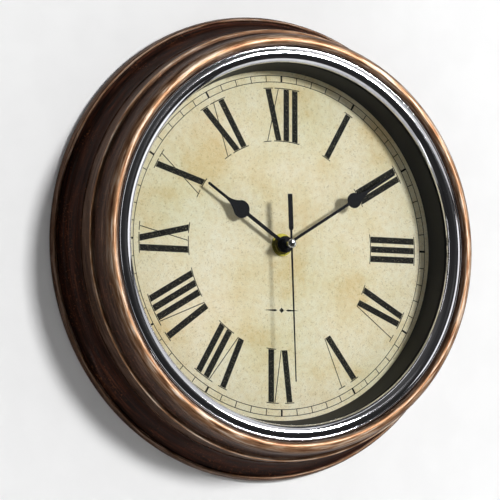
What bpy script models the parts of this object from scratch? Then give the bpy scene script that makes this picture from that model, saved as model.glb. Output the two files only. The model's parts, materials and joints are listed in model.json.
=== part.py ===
"""Round wall clock: antique-bronze moulded case, chrome bezel, parchment dial and quartz movement.

Lengths are in millimetres and are turned into metres when a mesh is made. Places on the clock are
given as x (right) and z (up) from the hands' axis, with h the height in front of the dial's face.
The world origin is where the wall screw bears in the hanger's keyhole, on the wall plane: +Z is up,
the clock faces -Y and the wall is at +Y.
"""
import math

import bmesh
import bpy

MM = 0.001
TURN = 2 * math.pi

# ---- driving dimensions ------------------------------------------------------------------------
GAP = 0.3                   # between pieces that rest on each other
FIT = 0.1                   # round a turning shaft or a screw's shank
BUSH_SIDES = 16
SMALL_SIDES = 12
SHANK_SIDES = 8
WASHER_SIDES = 24
RING_SIDES = 48

DIAL_EDGE_R = 123.2         # where the dial shows no more; every ring of the case follows from it
WALL_FLARE = 3.0            # the black wall opens by this much towards the glass
GLASS_THICK = 1.9
GLASS_SEAT = 1.8            # how far the black wall's top reaches under the glass
GLASS_OVERLAP = 0.8         # glass beyond its seat
PAPER_THICK = 0.4
PAPER_MARGIN = 6.8          # dial paper beyond its visible edge
PLATE_THICK = 2.0
PLATE_MARGIN = 4.0          # board beyond its screws
SURROUND_LEDGE = 2.9        # the black wall's flange under the case's flange
SURROUND_WALL = 1.5

CHROME_LIP = 2.4            # bezel ring over the glass's edge
CHROME_WIDTH = 10.9
CHROME_RISE = 4.2
CASE_WALL = 3.0
FLANGE_THICK = 3.9
FLANGE_SHIM = 0.1           # the flange stands this much in front of the glass
BEAD_IN = 3.4               # the main bead's inner and outer half widths
BEAD_OUT = 5.5
BEAD_RISE = 6.5             # crown in front of the flange
STEP_WIDTH = 5.3            # from the bead's outer edge to the band
BAND_DEPTH = 12.1           # the near-cylindrical band behind the beads
BAND_SET_BACK = 11.5        # front of the band behind the flange
COVE_REACH = 11.4
RIM_WIDTH = 2.4
RIM_THICK = 5.7             # from the cove's edge to the wall
RIM_EDGE = 2.1              # height of the rim's outermost line off the wall
RIM_FLAT = 5.0              # rear face of the rim

PLATE_SCREWS = 6
SCREW_SHANK_R = 1.4
SCREW_HEAD_R = 3.2
SCREW_HEAD_THICK = 2.0
SCREW_BITE = 10.0           # depth of a boss's hole
SCREW_SHORT = 0.8           # how far a shank stops short of the hole's end
SLOT_WIDTH = 0.7
BOSS_R = 4.0
BOSS_TO_SURROUND = 1.0

HANGER_SIZE = (64.0, 18.0)
HANGER_THICK = 1.3
HANGER_OFF_WALL = 3.3       # front face of the hanger
HANGER_BELOW_BAND = 8.6     # middle of the hanger inside the band's radius
HANGER_BOSS_INSET = 3.3     # boss axis inside the shell's inner wall
HANGER_BOSS_DEPTH = 12.3    # front end of the boss behind the flange
KEYHOLE_ENTRY_R = 4.7
KEYHOLE_SLOT = 5.2
KEYHOLE_RISE = 8.8          # from the centre of the entry to the top of the slot
SCREW_ABOVE_CENTRE = 4.6    # top of the slot above the hanger's middle
SCREW_HEAD_LOW = 1.4        # hanger screws have low heads

MOVEMENT_ABOVE_AXIS = 28.0
MOVEMENT_WALL = 1.5
MOVEMENT_FRONT = 1.3
MOVEMENT_DEPTH = 16.0
MOVEMENT_CORNER_R = 2.5
MOVEMENT_TO_WALL = 3.1      # from the setting knob to the wall
ROOM_BELOW_AXIS = 9.6       # gear room's floor
BAY_PARTITION = 1.4
COVER_THICK = 1.0
COVER_TO_KNOB = 0.4
GASKET_THICK = 0.6
GASKET_R = 8.0
BUSH_R = 4.0
BUSH_ABOVE_NUT = 0.4
WASHER_REACH = 4.0          # washer beyond the threaded collar
WASHER_THICK = 0.8
NUT_WALL = 2.0              # nut's flats beyond the threaded collar
NUT_THICK = 2.0
BATTERY_R = 7.25
BATTERY_LENGTH = 50.5
BATTERY_NUB = (2.7, 1.3)
BAY_CLEAR = 0.5
CONTACT_THICK = 0.4
CONTACT_WIDTH = 9.0
CONTACT_HEIGHT = 10.0
CONTACT_POCKET = 0.55       # behind each contact
TRAIN_HALF_X = 23.5         # the least half width that the wheels and the knob need
BOARD_SIZE = (17.0, 12.9)
BOARD_CLEAR = 1.0
GEAR_PLATE_THICK = 1.0
POST_SIDE = 3.5

PIVOT_R = 0.5
ROTOR_PIVOT_R = 0.4
PIVOT_LENGTH = 0.6          # of a pivot inside a wall or the cover
MID_PIVOT_LENGTH = 0.4      # inside the gear plate
BLIND = 0.2                 # room beyond the end of a pivot
MINUTE_TUBE_R = 1.6
HOUR_TUBE_R = 2.55
THIRD_ARBOR_R = 1.1
KNOB_SHAFT_R = 1.0
KNOB_R = 4.5
KNOB_RIB = 0.35
KNOB_THICK = 2.3
ROTOR_R = 2.4
STATOR_HOLE_R = 2.9

# each level's front and back, behind the inner face of the movement's front
HOUR_WHEEL = (0.4, 1.4)
MINUTE_PINION = (0.4, 2.8)
MINUTE_WHEEL = (2.8, 3.6)
SETTING_PINION = (2.6, 3.8)
KNOB_SHOULDER = 2.4
CANNON_PINION = (1.8, 3.8)
CANNON_END = 5.2
CLUTCH_SPRING = (4.05, 4.2)
CENTRE_WHEEL = (4.4, 5.0)
THIRD_PINION = (4.1, 5.1)
GEAR_PLATE = 5.4            # front of the plate, as thick as GEAR_PLATE_THICK
SECONDS_PINION = (6.8, 8.7)
THIRD_WHEEL = (7.1, 7.8)
SECONDS_WHEEL = (8.7, 9.4)
ROTOR_MAGNET = (7.0, 9.5)
STATOR = (8.2, 9.0)
INTERMEDIATE_PINION = (8.3, 9.8)
INTERMEDIATE_WHEEL = (9.8, 10.5)
ROTOR_PINION = (9.8, 11.0)
COIL_DEPTH = 9.8            # the coil's axis
COIL_CORE_THICK = 1.0

HOUR_HAND_LIFT = 1.4        # each hand's back in front of what is below it
MINUTE_HAND_LIFT = 3.5
SECOND_HAND_LIFT = 5.5
HOUR_TUBE_PROUD = 1.1       # tube's front in front of the back of its hand
MINUTE_TUBE_PROUD = 1.2
SECOND_ARBOR_PROUD = 0.5
SECOND_COLLAR_R = 1.2
SECOND_COLLAR_LENGTH = 3.1
HAND_THICK = 0.6
SECOND_HAND_THICK = 0.4
HOUR_ANGLE = 303.5          # clockwise from twelve, in degrees
MINUTE_ANGLE = 58.5
SECOND_ANGLE = 178.0
CAP_R = 3.25
CAP_RISE = 1.5
CAP_TO_GLASS = 0.5

# tooth counts and the distance between the arbors of each pair
ROTOR_TO_INTERMEDIATE = (8, 48, 7.0)
INTERMEDIATE_TO_SECONDS = (8, 40, 7.2)
SECONDS_TO_THIRD = (8, 60, 8.5)
THIRD_TO_CENTRE = (8, 64, 8.5)
CANNON_TO_MINUTE = (12, 36, 8.4)
MINUTE_TO_HOUR = (10, 40, 8.4)
KNOB_TO_MINUTE = (12, 36, 8.4)
TOOTH_TOP = 0.7             # height above and below the pitch circle, as parts of the module
TOOTH_FOOT = 1.1
TOOTH_TOP_HALF = 0.10       # half widths, as parts of the pitch
TOOTH_FOOT_HALF = 0.21

# ---- heights that follow, from the dial's face -------------------------------------------------
PAPER_BACK_H = -PAPER_THICK
PLATE_FRONT_H = PAPER_BACK_H - GAP
PLATE_BACK_H = PLATE_FRONT_H - PLATE_THICK
GASKET_FRONT_H = PLATE_BACK_H - GAP
CASE_FRONT_H = GASKET_FRONT_H - GASKET_THICK - GAP
ROOM_FRONT_H = CASE_FRONT_H - MOVEMENT_FRONT
ROOM_BACK_H = CASE_FRONT_H - MOVEMENT_DEPTH
COVER_FRONT_H = ROOM_BACK_H - GAP
COVER_BACK_H = COVER_FRONT_H - COVER_THICK
KNOB_FRONT_H = COVER_BACK_H - COVER_TO_KNOB
KNOB_BACK_H = KNOB_FRONT_H - KNOB_THICK
WALL_H = KNOB_BACK_H - MOVEMENT_TO_WALL
DIAL_STANDOFF = -WALL_H
HANGER_FRONT_H = WALL_H + HANGER_OFF_WALL
HANGER_BACK_H = HANGER_FRONT_H - HANGER_THICK
PIVOT_FRONT_H = ROOM_FRONT_H + PIVOT_LENGTH
PIVOT_BACK_H = COVER_FRONT_H - PIVOT_LENGTH
GEAR_PLATE_H = ROOM_FRONT_H - GEAR_PLATE
GEAR_PLATE_BACK_H = GEAR_PLATE_H - GEAR_PLATE_THICK
MID_PIVOT_H = GEAR_PLATE_H - MID_PIVOT_LENGTH
BATTERY_H = ROOM_FRONT_H - BAY_CLEAR - BATTERY_R
COIL_H = ROOM_FRONT_H - COIL_DEPTH
WASHER_FRONT_H = GAP + WASHER_THICK
NUT_BACK_H = WASHER_FRONT_H + GAP
NUT_FRONT_H = NUT_BACK_H + NUT_THICK
BUSH_FRONT_H = NUT_FRONT_H + BUSH_ABOVE_NUT
HOUR_HAND_H = BUSH_FRONT_H + HOUR_HAND_LIFT
MINUTE_HAND_H = HOUR_HAND_H + MINUTE_HAND_LIFT
SECOND_HAND_H = MINUTE_HAND_H + SECOND_HAND_LIFT
CAP_BACK_H = SECOND_HAND_H + SECOND_HAND_THICK + GAP
GLASS_BACK_H = CAP_BACK_H + CAP_RISE + CAP_TO_GLASS
GLASS_FRONT_H = GLASS_BACK_H + GLASS_THICK
SEAT_H = GLASS_BACK_H - GAP
FLANGE_H = GLASS_FRONT_H + FLANGE_SHIM
FLANGE_BACK_H = FLANGE_H - FLANGE_THICK
CHROME_BACK_H = FLANGE_H + GAP
BEAD_CROWN_H = FLANGE_H + BEAD_RISE
BAND_FRONT_H = FLANGE_H - BAND_SET_BACK
BAND_BACK_H = BAND_FRONT_H - BAND_DEPTH
COVE_BACK_H = WALL_H + RIM_THICK
BOSS_FOOT_H = PLATE_FRONT_H + GAP

# ---- radii that follow -------------------------------------------------------------------------
WALL_TOP_R = DIAL_EDGE_R + WALL_FLARE
SEAT_R = WALL_TOP_R + GLASS_SEAT
GLASS_R = SEAT_R + GLASS_OVERLAP
FLANGE_R = GLASS_R + GAP
SURROUND_FLANGE_R = FLANGE_R + SURROUND_LEDGE
CHROME_IN_R = GLASS_R - CHROME_LIP
CHROME_R = CHROME_IN_R + CHROME_WIDTH
BEAD_CROWN_R = CHROME_R + GAP + BEAD_IN
BAND_R = BEAD_CROWN_R + BEAD_OUT + STEP_WIDTH
CASE_R = BAND_R + COVE_REACH + RIM_WIDTH
CASE_HOLE_R = CASE_R - RIM_FLAT
SHANK_HOLE_R = SCREW_SHANK_R + FIT
SCREW_CIRCLE_R = SURROUND_FLANGE_R + BOSS_TO_SURROUND + BOSS_R
PLATE_R = SCREW_CIRCLE_R + PLATE_MARGIN
WASHER_R = BUSH_R + WASHER_REACH
NUT_ACROSS = 2 * (BUSH_R + NUT_WALL)
HANGER_Z = BAND_R - HANGER_BELOW_BAND
HANGER_BOSS_X = math.sqrt((BAND_R - CASE_WALL - HANGER_BOSS_INSET) ** 2 - HANGER_Z ** 2)
HANG_DROP = HANGER_Z + SCREW_ABOVE_CENTRE

# ---- the movement's rooms, from the hands' axis ------------------------------------------------
INNER_HALF_X = max(BATTERY_LENGTH / 2 + GAP + CONTACT_THICK + CONTACT_POCKET, TRAIN_HALF_X)
ROOM_TOP_Z = MOVEMENT_ABOVE_AXIS - MOVEMENT_WALL
ROOM_LOW_Z = -ROOM_BELOW_AXIS
BAY_HIGH_Z = ROOM_LOW_Z - BAY_PARTITION
BAY_LOW_Z = BAY_HIGH_Z - 2 * (BATTERY_R + BAY_CLEAR)
BATTERY_Z = (BAY_LOW_Z + BAY_HIGH_Z) / 2
MOVEMENT_LOW_Z = BAY_LOW_Z - MOVEMENT_WALL
COIL_Z = ROOM_TOP_Z - 6.0

# ---- arbors, from the hands' axis --------------------------------------------------------------


def beyond(start, distance, degrees):
    """The point at a distance and an angle from another, in the dial's plane."""
    turn = math.radians(degrees)
    return (start[0] + distance * math.cos(turn), start[1] + distance * math.sin(turn))


CENTRE = (0.0, 0.0)
THIRD = beyond(CENTRE, THIRD_TO_CENTRE[2], 150)
INTERMEDIATE = beyond(CENTRE, INTERMEDIATE_TO_SECONDS[2], 40)
ROTOR = beyond(INTERMEDIATE, ROTOR_TO_INTERMEDIATE[2], 60)
MINUTE_WORK = beyond(CENTRE, CANNON_TO_MINUTE[2], -20)
KNOB = beyond(MINUTE_WORK, KNOB_TO_MINUTE[2], 0)


# ---- outlines in the dial's plane --------------------------------------------------------------


def circle(radius, centre=CENTRE, sides=SMALL_SIDES):
    return [beyond(centre, radius, 360 * i / sides) for i in range(sides)]


def box(width, height, centre=CENTRE):
    x, z = centre
    return [(x + sx * width / 2, z + sz * height / 2) for sx, sz in ((-1, -1), (1, -1), (1, 1), (-1, 1))]


def rounded_box(width, height, radius, centre=CENTRE, steps=3):
    """A rectangle with round corners."""
    points = []
    for corner, (sx, sz) in enumerate(((1, 1), (-1, 1), (-1, -1), (1, -1))):
        middle = (centre[0] + sx * (width / 2 - radius), centre[1] + sz * (height / 2 - radius))
        points += [beyond(middle, radius, 90 * corner + 90 * i / steps) for i in range(steps + 1)]
    return points


def gear(teeth, pair, phase=0.0):
    """A straight-sided tooth form with play, its module from the pair's centre distance."""
    module = 2 * pair[2] / (pair[0] + pair[1])
    pitch = TURN / teeth
    foot = teeth * module / 2 - TOOTH_FOOT * module
    top = teeth * module / 2 + TOOTH_TOP * module
    corners = ((foot, -TOOTH_FOOT_HALF), (top, -TOOTH_TOP_HALF),
               (top, TOOTH_TOP_HALF), (foot, TOOTH_FOOT_HALF))
    points = []
    for tooth in range(teeth):
        for radius, part in corners:
            turn = phase + (tooth + part) * pitch
            points.append((radius * math.cos(turn), radius * math.sin(turn)))
    return points


def meshed(teeth, other_teeth, phase, start, end):
    """The phase of a wheel at end whose gaps receive the teeth of the wheel at start."""
    line = math.atan2(end[1] - start[1], end[0] - start[0])
    return line + math.pi + math.pi / other_teeth - (teeth / other_teeth) * (phase - line)


def clock_turn(points, degrees):
    """Turn an outline drawn pointing at twelve to its place on the dial."""
    turn = math.radians(degrees)
    c, s = math.cos(turn), math.sin(turn)
    return [(x * c + z * s, z * c - x * s) for x, z in points]


def both_sides(half):
    """Close an outline from its right half, listed from the foot to the tip."""
    return half + [(-x, z) for x, z in reversed(half) if abs(x) > 1e-9]


def arc_round(centre_z, radius, start, end, steps):
    """Points round a disc on the hand's line; 0 degrees points at the tip, growing to the right."""
    turns = [math.radians(start + (end - start) * i / steps) for i in range(steps + 1)]
    return [(radius * math.sin(t), centre_z + radius * math.cos(t)) for t in turns]


def spade_hand(boss, stem, disc_z, disc_r, neck_z, needle, tip_z):
    """A hand with a round boss, a stem, a disc and a hollow-sided neck that ends in a needle."""
    half = arc_round(0, boss, 180, 16, 8)
    half += arc_round(disc_z, disc_r, 168, 44, 6)
    shoulder_x, shoulder_z = half[-1]
    for part in (1 / 3, 2 / 3, 1):
        x = needle + (shoulder_x - needle) * (1 - part) ** 2
        half.append((x, shoulder_z + (neck_z - shoulder_z) * part))
    half += [(needle * 0.8, tip_z - 1), (0, tip_z)]
    half = [(max(x, stem) if boss < z < disc_z - disc_r else x, z) for x, z in half]
    return both_sides(half)


# ---- meshes ------------------------------------------------------------------------------------


def add_object(name, bm, material, centre=CENTRE, h=0.0, turn_z=0.0):
    """Close the mesh's normals and stand the object on its own axis."""
    bmesh.ops.remove_doubles(bm, verts=bm.verts, dist=1e-7)
    bmesh.ops.recalc_face_normals(bm, faces=bm.faces)
    mesh = bpy.data.meshes.new(name)
    bm.to_mesh(mesh)
    bm.free()
    mesh.shade_smooth()
    mesh.set_sharp_from_angle(angle=math.radians(35))
    mesh.materials.append(material)
    thing = bpy.data.objects.new(name, mesh)
    thing.location = (centre[0] * MM, -(DIAL_STANDOFF + h) * MM, (centre[1] - HANG_DROP) * MM)
    thing.rotation_euler[2] = turn_z
    bpy.context.collection.objects.link(thing)
    return thing


def turned(name, outline, material, centre=CENTRE, sides=RING_SIDES, h=0.0, turn_z=0.0):
    """Spin an outline of (radius, height) round the axis; one that starts and ends on it stays open."""
    bm = bmesh.new()
    verts = [bm.verts.new((r * MM, -z * MM, 0)) for r, z in outline]
    edges = [bm.edges.new(pair) for pair in zip(verts, verts[1:])]
    if outline[0][0] > 0:
        edges.append(bm.edges.new((verts[-1], verts[0])))
    bmesh.ops.spin(bm, geom=verts + edges, cent=(0, 0, 0), axis=(0, 1, 0), angle=TURN, steps=sides,
                   use_merge=True, use_duplicate=False)
    bmesh.ops.remove_doubles(bm, verts=bm.verts, dist=1e-7)
    return add_object(name, bm, material, centre, h, turn_z)


def layered(name, layers, material, centre=CENTRE, h=0.0, turn_z=0.0):
    """Stack straight-sided layers of (front, back, outlines), from the front to the back.

    An outline inside another is a hole, and one inside a hole is solid again. An outline that two
    layers share carries straight on from one to the next.
    """
    bm = bmesh.new()

    def ring(outline, height):
        verts = [bm.verts.new((x * MM, -height * MM, z * MM)) for x, z in outline]
        return verts, [bm.edges.new((verts[i - 1], verts[i])) for i in range(len(verts))]

    def fill(edges):
        if edges:
            bmesh.ops.triangle_fill(bm, edges=edges, use_beauty=True, normal=(0, -1, 0))

    above = {}
    for front, back, outlines in layers:
        start = {id(o): above.pop(id(o), None) or ring(o, front) for o in outlines}
        fresh = [edge for key, (verts, edges) in start.items() for edge in edges if not edge.link_faces]
        fill(fresh + [edge for verts, edges in above.values() for edge in edges])
        above = {}
        for outline in outlines:
            top = start[id(outline)][0]
            low = ring(outline, back)
            above[id(outline)] = low
            for i in range(len(top)):
                bm.faces.new((top[i - 1], top[i], low[0][i], low[0][i - 1]))
    fill([edge for verts, edges in above.values() for edge in edges])
    return add_object(name, bm, material, centre, h, turn_z)


def join_solid(target, extra):
    """Make a helper solid one with the target."""
    extra.hide_render = True
    extra.display_type = "WIRE"
    union = target.modifiers.new("join_" + extra.name, "BOOLEAN")
    union.operation = "UNION"
    union.solver = "EXACT"
    union.object = extra


def paint(name, colour, roughness, metallic=0.0):
    """A plain material from an sRGB hex colour."""
    channels = [int(colour[i:i + 2], 16) / 255 for i in (1, 3, 5)]
    linear = [c / 12.92 if c <= 0.04045 else ((c + 0.055) / 1.055) ** 2.4 for c in channels]
    material = bpy.data.materials.new(name)
    material.use_nodes = True
    shader = material.node_tree.nodes["Principled BSDF"]
    shader.inputs["Base Color"].default_value = (*linear, 1)
    shader.inputs["Roughness"].default_value = roughness
    shader.inputs["Metallic"].default_value = metallic
    return material


# ---- case, bezel, glass and dial ---------------------------------------------------------------


def quarter(centre, across, along, start, end, steps):
    """Points on an ellipse in the (radius, height) plane; 0 degrees points outwards, 90 forwards."""
    turns = [math.radians(start + (end - start) * i / steps) for i in range(steps + 1)]
    return [(centre[0] + across * math.cos(t), centre[1] + along * math.sin(t)) for t in turns]


def make_case(bronze):
    bead_side_h = BEAD_CROWN_H - BEAD_OUT
    cove = (BAND_R + COVE_REACH, BAND_BACK_H)
    cove_depth = BAND_BACK_H - COVE_BACK_H
    outline = [(FLANGE_R, FLANGE_H), (CHROME_R + GAP, FLANGE_H)]
    outline += quarter((BEAD_CROWN_R, BEAD_CROWN_H - BEAD_IN), BEAD_IN, BEAD_IN, 180, 90, 3)
    outline += quarter((BEAD_CROWN_R, bead_side_h), BEAD_OUT, BEAD_OUT, 65, 0, 3)
    outline += [(BEAD_CROWN_R + BEAD_OUT - 0.8, bead_side_h - 1.6), (BAND_R - 4.2, BAND_FRONT_H + 4.6)]
    outline += [(BAND_R - 2.8, BAND_FRONT_H + 2.1), (BAND_R - 0.2, BAND_FRONT_H), (BAND_R, BAND_BACK_H)]
    outline += quarter(cove, COVE_REACH, cove_depth, 180, 270, 5)[1:]
    outline += [(CASE_R, WALL_H + RIM_EDGE), (CASE_R - 0.6, WALL_H), (CASE_HOLE_R, WALL_H)]
    inner_cove = quarter(cove, COVE_REACH + CASE_WALL, cove_depth + CASE_WALL, 180, 258, 4)
    outline += [(CASE_HOLE_R, inner_cove[-1][1])] + inner_cove[-2::-1]
    outline += [(BAND_R - CASE_WALL - 0.2, BAND_FRONT_H - 4.4)]
    outline += [(BAND_R - CASE_WALL - 3.4, BAND_FRONT_H + 0.6)]
    outline += [(BEAD_CROWN_R + 1.5, FLANGE_BACK_H), (FLANGE_R, FLANGE_BACK_H)]
    case = turned("case_frame", outline, bronze)
    for number in range(PLATE_SCREWS):
        spot = screw_spot(number)
        join_boss(case, f"screw_boss_{number + 1}", spot, FLANGE_BACK_H + 1.2, BOSS_FOOT_H, bronze)
    for number, spot in enumerate(hanger_spots()):
        foot = HANGER_FRONT_H + GAP
        join_boss(case, f"hanger_boss_{number + 1}", spot, FLANGE_H - HANGER_BOSS_DEPTH, foot, bronze)


def join_boss(case, name, spot, front, foot, bronze):
    """A round boss inside the case, drilled from its foot for a screw."""
    boss = circle(BOSS_R)
    bottom = foot + SCREW_BITE
    layers = [(front, bottom, [boss]), (bottom, foot, [boss, circle(SHANK_HOLE_R, sides=SHANK_SIDES)])]
    join_solid(case, layered(name, layers, bronze, spot))


def make_bezel_ring(chrome):
    crown = CHROME_BACK_H + CHROME_RISE
    outline = [(CHROME_IN_R, CHROME_BACK_H)]
    outline += quarter((CHROME_IN_R + 6.1, crown - 3.9), 6.1, 3.9, 172, 60, 5)
    outline += [(CHROME_R - 2.7, crown - 0.6), (CHROME_R - 1.9, crown - 0.4), (CHROME_R - 0.6, crown - 0.9)]
    outline += [(CHROME_R, crown - 2.2), (CHROME_R, CHROME_BACK_H)]
    turned("bezel_ring", outline, chrome)


def make_glass(clear):
    outline = [(0, GLASS_FRONT_H), (GLASS_R, GLASS_FRONT_H), (GLASS_R, GLASS_BACK_H), (0, GLASS_BACK_H)]
    turned("lens_glass", outline, clear)


def make_dial_surround(black):
    flange_h = FLANGE_BACK_H - GAP
    ledge_h = flange_h - SURROUND_WALL
    outline = [(DIAL_EDGE_R, GAP), (WALL_TOP_R, SEAT_H), (SEAT_R, SEAT_H), (SEAT_R, flange_h),
               (SURROUND_FLANGE_R, flange_h), (SURROUND_FLANGE_R, ledge_h),
               (WALL_TOP_R + SURROUND_WALL, ledge_h), (DIAL_EDGE_R + SURROUND_WALL + 0.4, GAP)]
    turned("dial_surround", outline, black)


def make_dial(paper, board):
    hole = circle(BUSH_R + GAP, sides=BUSH_SIDES)
    face = circle(DIAL_EDGE_R + PAPER_MARGIN, sides=RING_SIDES)
    layered("dial_face", [(0, PAPER_BACK_H, [face, hole])], paper)
    screw_hole_r = SCREW_SHANK_R + 2 * FIT
    holes = [circle(screw_hole_r, screw_spot(number), SHANK_SIDES) for number in range(PLATE_SCREWS)]
    plate = circle(PLATE_R, sides=RING_SIDES)
    layered("dial_plate", [(PLATE_FRONT_H, PLATE_BACK_H, [plate, hole] + holes)], board)


def screw_spot(number):
    return beyond(CENTRE, SCREW_CIRCLE_R, 360 * (number + 0.5) / PLATE_SCREWS)


def make_screw(name, spot, seat_h, head_thick, steel):
    """A slotted pan-head screw driven forwards from the back."""
    head = circle(SCREW_HEAD_R)
    shank = circle(SCREW_SHANK_R, sides=SHANK_SIDES)
    slot = box(SCREW_HEAD_R * 1.5, SLOT_WIDTH)
    layers = [(seat_h + SCREW_BITE - SCREW_SHORT, seat_h, [shank]), (seat_h, seat_h - head_thick / 2, [head]),
              (seat_h - head_thick / 2, seat_h - head_thick, [head, slot])]
    layered(name, layers, steel, spot)


def hanger_spots():
    return [(side * HANGER_BOSS_X, HANGER_Z) for side in (-1, 1)]


def keyhole():
    """A round entry with a slot that rises from it and ends in a half circle."""
    half_slot = KEYHOLE_SLOT / 2
    top_z = SCREW_ABOVE_CENTRE - half_slot
    entry_z = SCREW_ABOVE_CENTRE - KEYHOLE_RISE
    meet = math.degrees(math.asin(half_slot / KEYHOLE_ENTRY_R))
    half = arc_round(entry_z, KEYHOLE_ENTRY_R, 180, meet, 6)
    half += arc_round(top_z, half_slot, 90, 0, 4)
    return [(x, z) for x, z in both_sides(half[:-1] + [(0, SCREW_ABOVE_CENTRE)])]


def make_hanger(steel):
    holes = [circle(SCREW_SHANK_R + 2 * FIT, (x, z - HANGER_Z), SHANK_SIDES) for x, z in hanger_spots()]
    plate = rounded_box(*HANGER_SIZE, 2.0)
    layers = [(HANGER_FRONT_H, HANGER_BACK_H, [plate, keyhole()] + holes)]
    layered("hanger_plate", layers, steel, (0, HANGER_Z))
    for number, spot in enumerate(hanger_spots()):
        make_screw(f"hanger_screw_{number + 1}", spot, HANGER_BACK_H - GAP, SCREW_HEAD_LOW, steel)


# ---- movement ----------------------------------------------------------------------------------


def behind_front(level):
    """A level's front and back as heights."""
    return tuple(ROOM_FRONT_H - depth for depth in level)


def tall_box(half_width, low_z, high_z, radius=0.0):
    """A rectangle centred on the hands' axis from side to side."""
    size = (2 * half_width, high_z - low_z)
    middle = (0, (high_z + low_z) / 2)
    return rounded_box(*size, radius, middle) if radius else box(*size, middle)


def make_movement_shell(plastic, rubber, brass):
    outer = tall_box(INNER_HALF_X + MOVEMENT_WALL, MOVEMENT_LOW_Z, MOVEMENT_ABOVE_AXIS, MOVEMENT_CORNER_R)
    bore = circle(HOUR_TUBE_R + FIT, sides=BUSH_SIDES)
    room = tall_box(INNER_HALF_X, ROOM_LOW_Z, ROOM_TOP_Z)
    bay = tall_box(INNER_HALF_X, BAY_LOW_Z, BAY_HIGH_Z)
    pivots = [circle(PIVOT_R + FIT, spot) for spot in (THIRD, MINUTE_WORK, KNOB)]
    post_x = INNER_HALF_X - POST_SIDE
    posts = [box(POST_SIDE, POST_SIDE, (side * post_x, z))
             for side in (-1, 1) for z in (ROOM_LOW_Z + POST_SIDE, ROOM_TOP_Z - POST_SIDE)]
    layers = [(BUSH_FRONT_H, CASE_FRONT_H, [circle(BUSH_R, sides=BUSH_SIDES), bore]),
              (CASE_FRONT_H, PIVOT_FRONT_H + BLIND, [outer, bore]),
              (PIVOT_FRONT_H + BLIND, ROOM_FRONT_H, [outer, bore] + pivots),
              (ROOM_FRONT_H, GEAR_PLATE_H + GAP, [outer, room, bay] + posts),
              (GEAR_PLATE_H + GAP, ROOM_BACK_H, [outer, room, bay])]
    layered("movement_case", layers, plastic)

    knob_hole = circle(KNOB_SHAFT_R + FIT, KNOB)
    rear_pivots = [circle(PIVOT_R + FIT, spot) for spot in (CENTRE, THIRD, INTERMEDIATE, ROTOR)]
    layers = [(COVER_FRONT_H, PIVOT_BACK_H - BLIND, [outer, bay, knob_hole] + rear_pivots),
              (PIVOT_BACK_H - BLIND, COVER_BACK_H, [outer, bay, knob_hole])]
    layered("movement_cover", layers, plastic)

    plate = tall_box(INNER_HALF_X - GAP, ROOM_LOW_Z + GAP, ROOM_TOP_Z - GAP)
    holes = [circle(PIVOT_R + FIT, spot) for spot in (CENTRE, MINUTE_WORK, INTERMEDIATE, ROTOR)]
    holes += [circle(THIRD_ARBOR_R + FIT, THIRD), circle(KNOB_SHAFT_R + FIT, KNOB)]
    layered("gear_plate", [(GEAR_PLATE_H, GEAR_PLATE_BACK_H, [plate] + holes)], plastic)

    bush_hole = circle(BUSH_R + GAP, sides=BUSH_SIDES)
    gasket = circle(GASKET_R, sides=WASHER_SIDES)
    layered("shaft_gasket", [(GASKET_FRONT_H, GASKET_FRONT_H - GASKET_THICK, [gasket, bush_hole])], rubber)
    washer = circle(WASHER_R, sides=WASHER_SIDES)
    layered("fixing_washer", [(WASHER_FRONT_H, GAP, [washer, bush_hole])], brass)
    nut = circle(NUT_ACROSS / 2 / math.cos(math.pi / 6), sides=6)
    layered("fixing_nut", [(NUT_FRONT_H, NUT_BACK_H, [nut, bush_hole])], brass)


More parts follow.
